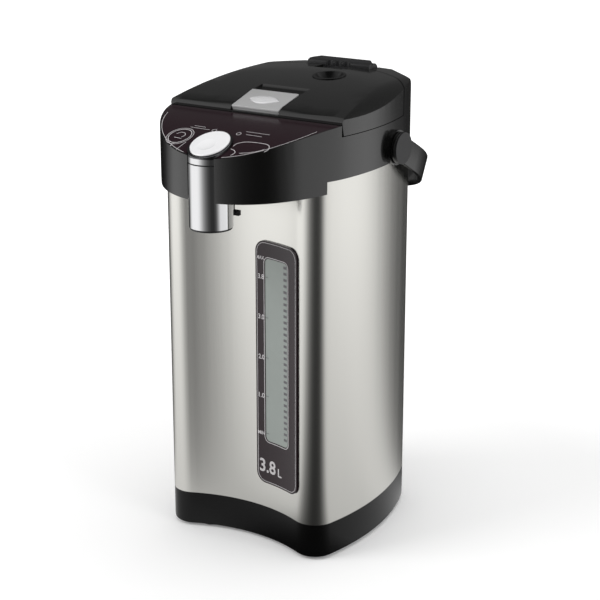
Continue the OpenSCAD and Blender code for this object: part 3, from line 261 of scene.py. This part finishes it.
M = {
    "gloss": shader("gloss_black", (.003, .003, .0028), .15, coat=.35, spec=.75, grain_h=.012),
    "base": shader("base_black", (.0025, .0025, .0025), .16, coat=.06, spec=.24, grain_h=.012),
    "satin": shader("satin_black", (.014, .014, .015), .34, grain=2400, grain_h=.10),
    "plum": shader("plum_film", (.013, .004, .007), .22, coat=.04, grain_h=.012),
    "steel": shader("brushed_sleeve", (.87, .86, .815), .23, metal=1, grain=260, grain_h=.03,
                    stretch=(6, 6, .03), mottle=.025, rough_var=.05, aniso=.5),
    "plain_steel": shader("plain_steel", (.56, .56, .56), .28, metal=1, grain=300, grain_h=.05,
                          stretch=(1, 1, 4), mottle=.05),
    "smoke": shader("dark_chrome", (.17, .17, .175), .16, metal=1, grain_h=.01, mottle=.03, rough_var=.03),
    "disc": shader("bright_lacquer", (.94, .94, .95), .22, metal=.15, coat=.3, grain=1600, mottle=.02),
    "print": shader("pale_print", (.56, .54, .55), .5, grain=2600, grain_h=.05, mottle=.10),
    "badge": shader("badge_lacquer", (.84, .84, .85), .14, metal=.35, coat=.3, grain=1600, grain_h=.01,
                    mottle=.02),
    "mark": shader("dark_print", (.125, .12, .13), .5, grain=2600, grain_h=.05, mottle=.10),
    "chrome": shader("chrome_trim", (.86, .86, .87), .045, metal=1, grain_h=.004, mottle=.01, rough_var=.02),
    "silver": shader("silver_plastic", (.50, .50, .50), .34, metal=.35, grain=1500, grain_h=.012, mottle=.02),
    "rubber": shader("black_rubber", (.016, .016, .017), .62, grain=1800, grain_h=.15),
    "silicone": shader("silicone", (.72, .72, .69), .45, grain_h=.05, transmission=.2),
    "window": shader("window", (.30, .33, .31), .22, mottle=.04),
    "clear": shader("clear_tube", (.88, .92, .94), .05, grain_h=0, transmission=.85),
    "alu": shader("cast_aluminium", (.62, .62, .63), .42, metal=1, grain=700, grain_h=.18),
    "white": shader("off_white_plastic", (.74, .73, .68), .45, grain=1500, grain_h=.08),
    "grey": shader("grey_plastic", (.20, .20, .21), .38, grain=1500, grain_h=.08),
    "board": shader("circuit_board", (.02, .12, .045), .35, grain=500, grain_h=.1, mottle=.25),
    "mica": shader("mica_wrap", (.36, .27, .16), .5, grain=300, grain_h=.2, mottle=.3),
    "ceramic": shader("ceramic", (.70, .60, .44), .5, grain_h=.1),
    "copper": shader("copper_windings", (.62, .30, .16), .35, metal=1, grain=500, grain_h=.3,
                     stretch=(1, 1, 8)),
}
LOOKS = {
    "base": ["base_shell", "steam_cap"],
    "gloss": ["head_housing", "nose_tray", "rear_cover", "lid_shell", "carry_handle"],
    "satin": ["base_plate", "power_inlet", "tank_posts", "thermostats", "outlet_nozzle",
              "dispense_button", "cup_lever", "lever_switch", "hinge_bridge", "handle_pins"],
    "plum": ["control_panel", "gauge_panel"],
    "steel": ["outer_sleeve"],
    "plain_steel": ["base_screws", "inner_tank", "pump_motor", "motor_shaft", "button_spring", "lever_pin",
                    "hinge_pin", "lid_inner_cover", "latch_pin"],
    "chrome": ["spout_housing", "spout_ring", "latch_badge"],
    "smoke": ["button_bezel"],
    "disc": ["button_cap"],
    "silver": ["lid_latch"],
    "rubber": ["rubber_feet", "motor_cushion", "spout_seal"],
    "silicone": ["tank_gasket", "suction_hose", "delivery_tube", "spout_pipe", "level_hose", "level_cap",
                 "lid_gasket"],
    "window": ["gauge_window"],
    "clear": ["level_tube"],
    "alu": ["heater_plate"],
    "white": ["pump_housing"],
    "grey": ["impeller", "mouth_ring", "mouth_lip", "steam_tube", "hinge_release"],
    "board": ["panel_board", "power_board"],
    "mica": ["warming_band"],
    "ceramic": ["thermal_fuse"],
    "copper": ["motor_rotor"],
}


def dress_nodes():
    """Gives every CAD node its material."""
    for look, names in LOOKS.items():
        for n in names:
            NODES[n].data.materials.clear()
            NODES[n].data.materials.append(M[look])


# ---------------------------------------------------------------- edges of the CAD nodes
WELD = 2e-6  # m, closer points are one
FLAT = .4  # degrees, facets that meet at less are one face
SHARP = 40  # degrees, edges sharper than this are rounded
CRISP, CRISP_ROUNDED = 24, 30  # degrees, edges sharper than this stay crisp under the smooth shading
EDGES = {"carry_handle": .7, "hinge_bridge": .7, "cup_lever": .4}  # mm, rounding of these nodes' edges


def round_edges(o, width):
    """Rounds the sharp edges by a width in millimetres."""
    b = o.modifiers.new("edge", "BEVEL")
    b.width = width * MM
    b.segments = 3
    b.limit_method = "ANGLE"
    b.angle_limit = math.radians(SHARP)


def keep_crisp(o, angle):
    """Keeps edges sharper than an angle in degrees crisp."""
    o.modifiers.new("split", "EDGE_SPLIT").split_angle = math.radians(angle)


def soften_nodes():
    """Smooth shading over the facets of curved walls, and rounded edges on the nodes of EDGES."""
    for n, o in NODES.items():
        for p in o.data.polygons:
            p.use_smooth = True
        if o.data.has_custom_normals:
            o.data.attributes.remove(o.data.attributes["custom_normal"])
        o.modifiers.new("weld", "WELD").merge_threshold = WELD
        if n in EDGES:
            d = o.modifiers.new("flat", "DECIMATE")
            d.decimate_type = "DISSOLVE"
            d.angle_limit = math.radians(FLAT)
            round_edges(o, EDGES[n])
        keep_crisp(o, CRISP_ROUNDED if n in EDGES else CRISP)


# ---------------------------------------------------------------- pieces
def piece(name, verts, faces, look, body, smooth=False):
    """A mesh with its points in millimetres, riding on a body."""
    me = bpy.data.meshes.new(name)
    me.from_pydata([tuple(c * MM for c in v) for v in verts], [], faces)
    me.update()
    bm = bmesh.new()
    bm.from_mesh(me)
    bmesh.ops.recalc_face_normals(bm, faces=bm.faces)
    bm.to_mesh(me)
    bm.free()
    for p in me.polygons:
        p.use_smooth = smooth
    me.materials.append(M[look])
    o = link(bpy.data.objects.new(name, me))
    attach(o, body)
    return o


def grid_faces(rows, cols, around):
    """Faces between rows of points; around joins the last point of each row to its first."""
    n = cols if around else cols + 1
    return [(i * n + j, i * n + (j + 1) % n, (i + 1) * n + (j + 1) % n, (i + 1) * n + j)
            for i in range(rows) for j in range(cols)]


# The hollow front face with the gauge, and the window in it: arcs round one axis, seen from above
GAUGE_Y, GAUGE_R, WINDOW_R = -178.1, 123.9, 124.2
# The sloping panel: an arc, seen from the side
PANEL_Y, PANEL_Z, PANEL_R = -29.214, 164.057, 186
INK_TOP, INK_LOW = .13, .02  # height of a film of ink's two faces over the surface


def on_gauge(x, z, lift, r=GAUGE_R):
    """A place on the hollow front face."""
    a = math.asin(x / r)
    return ((r - lift) * math.sin(a), GAUGE_Y + (r - lift) * math.cos(a), z)


def on_window(x, z, lift):
    """A place on the gauge's window."""
    return on_gauge(x, z, lift, WINDOW_R)


def on_panel(x, y, lift):
    """A place on the sloping panel."""
    k = 1 + lift / PANEL_R
    return (x, PANEL_Y + (y - PANEL_Y) * k, PANEL_Z + math.sqrt(PANEL_R ** 2 - (y - PANEL_Y) ** 2) * k)


def ink(name, parts, surface, look):
    """A thin closed film of ink: sets of flat points and faces carried on to a surface of the pot."""
    flat, faces = [], []
    for points, polygons in parts:
        faces += [tuple(i + len(flat) for i in f) for f in polygons]
        flat += points
    n = len(flat)
    verts = [surface(u, v, INK_TOP) for u, v in flat] + [surface(u, v, INK_LOW) for u, v in flat]
    edges = dict.fromkeys((a, b) for f in faces for a, b in zip(f, f[1:] + f[:1]))  # in order
    rim = [(a, b, b + n, a + n) for a, b in edges if (b, a) not in edges]
    solid = faces + [tuple(i + n for i in reversed(f)) for f in faces] + rim
    return piece(name, verts, solid, look, "pot")


def ribbon(points, width, closed=False, step=2.0):
    """Flat points and faces of a line drawn through points."""
    loop = list(points) + ([points[0]] if closed else [])
    pts = []
    for p, q in zip(loop, loop[1:]):
        n = max(1, math.ceil(math.dist(p, q) / step))
        pts += [(p[0] + (q[0] - p[0]) * i / n, p[1] + (q[1] - p[1]) * i / n) for i in range(n)]
    if not closed:
        pts.append(loop[-1])
    n = len(pts)
    flat = []
    for i, p in enumerate(pts):
        a = pts[i - 1] if closed or i else p
        b = pts[(i + 1) % n] if closed or i < n - 1 else p
        d = math.dist(a, b)
        nx, ny = -(b[1] - a[1]) / d * width / 2, (b[0] - a[0]) / d * width / 2
        flat += [(p[0] + nx, p[1] + ny), (p[0] - nx, p[1] - ny)]
    last = n if closed else n - 1
    return flat, [(2 * i, 2 * i + 1, (2 * i + 3) % (2 * n), (2 * i + 2) % (2 * n)) for i in range(last)]


def ring(cx, cy, r, width, n):
    """A drawn circle."""
    turn = [2 * math.pi * i / n for i in range(n)]
    return ribbon([(cx + r * math.cos(a), cy + r * math.sin(a)) for a in turn], width, closed=True)


def curve(points, width, n=6):
    """A drawn line that bends smoothly through points (Catmull-Rom)."""
    out = []
    for i in range(len(points) - 1):
        near = points[max(0, i - 1)], points[i], points[i + 1], points[min(len(points) - 1, i + 2)]
        for k in range(n):
            t = k / n
            out.append(tuple(.5 * (2 * b + (c - a) * t + (2 * a - 5 * b + 4 * c - d) * t * t
                                   + (3 * b - a - 3 * c + d) * t ** 3) for a, b, c, d in zip(*near)))
    return ribbon(out + [points[-1]], width)


def frame_line(x0, x1, z0, z1, r, width, n=6):
    """A drawn rectangle with rounded corners."""
    out = []
    for cx, cz, start in ((x1 - r, z1 - r, 0), (x0 + r, z1 - r, 90), (x0 + r, z0 + r, 180), (x1 - r, z0 + r, 270)):
        turn = [math.radians(start + 90 * i / n) for i in range(n + 1)]
        out += [(cx + r * math.cos(a), cz + r * math.sin(a)) for a in turn]
    return ribbon(out, width, closed=True)


BOLDER = .018  # how much the letters are thickened, as a share of their size


def glyph(text, x0, x1, z0, height):
    """The flat outline of a number or a word, between x0 and x1, standing on z0."""
    cu = bpy.data.curves.new("glyph", "FONT")
    cu.body = text
    cu.resolution_u = 3
    cu.offset = BOLDER
    o = link(bpy.data.objects.new("glyph", cu))
    me = o.to_mesh()
    pts = [(v.co.x, v.co.y) for v in me.vertices]
    faces = [tuple(p.vertices) for p in me.polygons]
    o.to_mesh_clear()
    bpy.data.objects.remove(o)
    bpy.data.curves.remove(cu)
    lo_x, hi_x = min(p[0] for p in pts), max(p[0] for p in pts)
    lo_y, hi_y = min(p[1] for p in pts), max(p[1] for p in pts)
    return [(x0 + (x - lo_x) / (hi_x - lo_x) * (x1 - x0), z0 + (y - lo_y) / (hi_y - lo_y) * height)
            for x, y in pts], faces


# Text, height of its tick, left and right end, and letter height
LEVELS = [("MAX", 241.5, 9.0, 16.6, 3), ("3.8", 225.8, 10.2, 16.2, 4), ("3.0", 192.9, 10.2, 16.2, 4),
          ("2.0", 159.6, 10.2, 16.2, 4), ("1.0", 127.2, 10.2, 16.2, 4), ("MIN", 95.5, 9.4, 16.2, 3)]
TEXT_FOOT = 2  # from a tick down to the foot of its text
TICK, TICK_W = (17.6, 20.4), .5  # left and right end, and width of the line
RUNG, RUNG_W = (37.2, 40.7), 2.0
LADDER_Z, LADDER_STEP, LADDER_RUNGS = 95.5, 4.9, 30


def gauge_print():
    """The gauge's numbers and lines on the panel, and its ticks and ladder on the window."""
    levels = [glyph(text, x0, x1, z - TEXT_FOOT, height) for text, z, x0, x1, height in LEVELS]
    lines = [frame_line(16.2, 42.7, 88.2, 242.2, 4.8, .55), frame_line(9.2, 51.8, 53.7, 253.5, 7.6, .4)]
    capacity = [glyph("3.8", 10.7, 27.6, 61.5, 11.5), glyph("L", 30.2, 34.4, 61.5, 7)]
    ink("gauge_print", levels + lines + capacity, on_gauge, "print")
    ticks = [ribbon([(x, level[1]) for x in TICK], TICK_W) for level in LEVELS]
    heights = [LADDER_Z + LADDER_STEP * i for i in range(LADDER_RUNGS)]
    ladder = [ribbon([(x, z) for x in RUNG], RUNG_W) for z in heights]
    ink("level_marks", ticks + ladder, on_window, "mark")


LINE = .37  # width of the panel's usual line, and the others are a share of it
RIM_Y, RIM_R = -42.1, 71.1  # the arc along the panel's edge


def panel_print():
    """Generic rings and lines round the button; the place of the maker's word stays bare."""
    left_key = [ring(-33.1, -93.7, 10.6, LINE, 48), ring(-33.1, -93.7, 9.0, 1.4 * LINE, 48),
                curve([(-37.5, -92), (-35, -89.6), (-31.6, -89.6), (-29.4, -92.2), (-30.6, -95.4)], LINE),
                ribbon([(-36.4, -96.5), (-29.6, -96.9)], LINE),
                ribbon([(-31.8, -103.5), (-32.6, -106.9)], LINE),
                ribbon([(-22.7, -100.1), (-24.9, -109.6)], LINE)]
    right_key = [curve([(18.3, -97.4), (18.9, -94.2), (22.8, -91.2), (28.2, -89.8), (36, -89.4),
                        (42.6, -89.8), (46.2, -91.8), (48, -95.6), (46.8, -99.2)], 1.2 * LINE),
                 curve([(18.6, -100.8), (22.6, -102.2), (24.4, -104.6), (23, -107.8)], 1.2 * LINE),
                 curve([(28.1, -104.2), (34.6, -102.4), (40.8, -99.6), (44.8, -96.4)], LINE)]
    words = [ribbon(ends, .8 * LINE) for ends in ([(-32.6, -80.6), (-14.6, -81)],
                                                  [(15.4, -76.4), (36.6, -76.7)],
                                                  [(18.2, -80.6), (32.6, -81)])]
    words += [ribbon([(-30.8, -77.8), (-20.4, -78)], .7 * LINE)]
    lamps = [ring(x, y, 1.8, .9 * LINE, 24) for x, y in ((11.8, -80.9), (-10.3, -81))]
    turn = [math.radians(a) for a in range(-76, -14, 3)]
    rims = [ribbon([(side * RIM_R * math.cos(a), RIM_Y + RIM_R * math.sin(a)) for a in turn], .9 * LINE)
            for side in (-1, 1)]
    ink("panel_print", left_key + right_key + words + lamps + rims, on_panel, "print")


# The round button: its axis, the middle of its slanting top, its radius and thickness, and how far it goes down
SPOUT_Y, BUTTON_Z, BUTTON_R, BUTTON_T, BUTTON_TRAVEL = -101.3, 338.5, 15.05, 1.15, 2.5
SLANT = math.tan(math.radians(22))
EDGE_R, EDGE_DROP = 13.9, .35  # where the disc's edge starts to round down, and how far it drops
DIMPLE_X, DIMPLE_Y, DIMPLE_R, DIMPLE_DEPTH = -1.2, -2.6, 6.6, .95  # from the disc's middle


def button_disc():
    """The bright disc with its shallow finger dimple and rounded rim."""
    rings, segs = 30, 96

    def top(x, y):
        z = BUTTON_Z + y * SLANT
        z -= EDGE_DROP * max(0, (math.hypot(x, y) - EDGE_R) / (BUTTON_R - EDGE_R)) ** 2
        d = math.hypot(x - DIMPLE_X, y - DIMPLE_Y) / DIMPLE_R
        return z - (DIMPLE_DEPTH * (1 - d * d) ** .6 if d < 1 else 0)

    turn = [2 * math.pi * j / segs for j in range(segs)]
    flat = [(r * math.cos(a), r * math.sin(a)) for r in (BUTTON_R * (i + 1) / rings for i in range(rings))
            for a in turn]
    verts = [(x, SPOUT_Y + y, top(x, y)) for x, y in flat]
    verts += [(x, SPOUT_Y + y, BUTTON_Z - BUTTON_T + y * SLANT) for x, y in flat[-segs:]]
    verts += [(0, SPOUT_Y, top(0, 0)), (0, SPOUT_Y, BUTTON_Z - BUTTON_T)]
    middle, below, last = len(verts) - 2, len(verts) - 1, rings * segs
    faces = grid_faces(rings, segs, around=True)
    faces += [(middle, (j + 1) % segs, j) for j in range(segs)]
    faces += [(below, last + j, last + (j + 1) % segs) for j in range(segs)]
    o = piece("button_disc", verts, faces, "disc", "press_button", smooth=True)
    keep_crisp(o, 50)
    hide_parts("button_cap")


WIRE_R, TURNS, PLAY = .5, 5, .05  # the spring's wire, its turns, and the play at each end


def button_coil():
    """The button's return spring as one closed coil of wire."""
    lo, hi = (tuple(c / MM for c in corner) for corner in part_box("button_spring"))
    steps, segs = 160, 8
    r = (hi[0] - lo[0]) / 2 - WIRE_R
    z0, z1 = lo[2] + WIRE_R + PLAY, hi[2] - WIRE_R - PLAY
    cx, cy = (lo[0] + hi[0]) / 2, (lo[1] + hi[1]) / 2
    verts = []
    for i in range(steps + 1):
        a, z = 2 * math.pi * TURNS * i / steps, z0 + (z1 - z0) * i / steps
        for j in range(segs):
            b = 2 * math.pi * j / segs
            reach = r + WIRE_R * math.cos(b)
            verts.append((cx + reach * math.cos(a), cy + reach * math.sin(a), z + WIRE_R * math.sin(b)))
    faces = grid_faces(steps, segs, around=True)
    faces += [tuple(range(segs - 1, -1, -1)), tuple(range(steps * segs, (steps + 1) * segs))]
    o = piece("button_coil", verts, faces, "plain_steel", "pot", smooth=True)
    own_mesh(o)
    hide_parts("button_spring")


# The latch plate: its front and rear edge, the top of its front edge, its thickness, width and slope
LATCH_FRONT, LATCH_BACK, LATCH_Z, LATCH_T, LATCH_W = -42.2, -13.4, 354.9, 1.8, 43
LATCH_SLOPE = math.radians(15.6)
LATCH_AXIS, ROLL_R = (-39.3, 352.2), 2  # its pin's axis as (y, z), and the roll round the pin
CATCH = [(-1.3, -.5), (.9, -.5), (.9, -6), (.1, -7), (-1.3, -7)]  # the catch's side, from the pin's axis
CATCH_W = 10
LATCH_EDGE = .45  # rounding of its edges


def latch_plate():
    """The latch plate with rounded edges, a roll under its front edge and the catch below."""
    def top(y):
        return LATCH_Z + (y - LATCH_FRONT) * math.tan(LATCH_SLOPE)

    ay, az = LATCH_AXIS
    side = [(LATCH_FRONT, top(LATCH_FRONT)), (LATCH_BACK, top(LATCH_BACK)),
            (LATCH_BACK, top(LATCH_BACK) - LATCH_T), (ay + ROLL_R, top(ay + ROLL_R) - LATCH_T)]
    side += [(ay + ROLL_R * math.cos(math.radians(a)), az + ROLL_R * math.sin(math.radians(a)))
             for a in range(0, -181, -12)]
    side += [(ay - ROLL_R, top(ay - ROLL_R) - LATCH_T), (LATCH_FRONT, top(LATCH_FRONT) - LATCH_T)]
    catch = [(ay + y, az + z) for y, z in CATCH]
    verts, faces = [], []
    for outline, width in ((side, LATCH_W), (catch, CATCH_W)):
        k, n, half = len(verts), len(outline), width / 2
        verts += [(-half, y, z) for y, z in outline] + [(half, y, z) for y, z in outline]
        faces += [tuple(range(k, k + n)), tuple(range(k + 2 * n - 1, k + n - 1, -1))]
        faces += [(k + i, k + n + i, k + n + (i + 1) % n, k + (i + 1) % n) for i in range(n)]
    o = piece("latch_plate", verts, faces, "silver", "latch", smooth=True)
    round_edges(o, LATCH_EDGE)
    keep_crisp(o, CRISP_ROUNDED)
    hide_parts("lid_latch")


BADGE_X, BADGE_Y, BADGE_H = 13.6, 6.4, 1.35  # half its length, half its width, and its height
BADGE_SUNK, BADGE_T = .5, .3  # how far its rim lies below the CAD badge's middle, and its thickness


def badge_dome():
    """A smooth almond-shaped dome on the latch plate."""
    lo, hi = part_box("latch_badge")
    cy, cz = (lo[1] + hi[1]) / 2 / MM, (lo[2] + hi[2]) / 2 / MM - BADGE_SUNK
    cols, rows = 16, 40
    verts = []
    for i in range(rows + 1):
        u = -1 + 2 * i / rows
        for j in range(cols + 1):
            v = -1 + 2 * j / cols
            y = BADGE_Y * (1 - abs(u) ** 2.3) * v
            z = BADGE_H * (1 - u * u) ** .5 * (1 - v * v) ** .6
            verts.append((BADGE_X * u, cy + y * math.cos(LATCH_SLOPE) - z * math.sin(LATCH_SLOPE),
                          cz + y * math.sin(LATCH_SLOPE) + z * math.cos(LATCH_SLOPE)))
    o = piece("badge_dome", verts, grid_faces(rows, cols, around=False), "badge", "latch", smooth=True)
    t = o.modifiers.new("back", "SOLIDIFY")
    t.thickness = BADGE_T * MM
    t.offset = 0
    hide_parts("latch_badge")


make_camera()
make_floor()
make_world()
make_lamps()
dress_nodes()
soften_nodes()
gauge_print()
panel_print()
button_disc()
button_coil()
latch_plate()
badge_dome()

bpy.context.scene.view_settings.view_transform = "Standard"
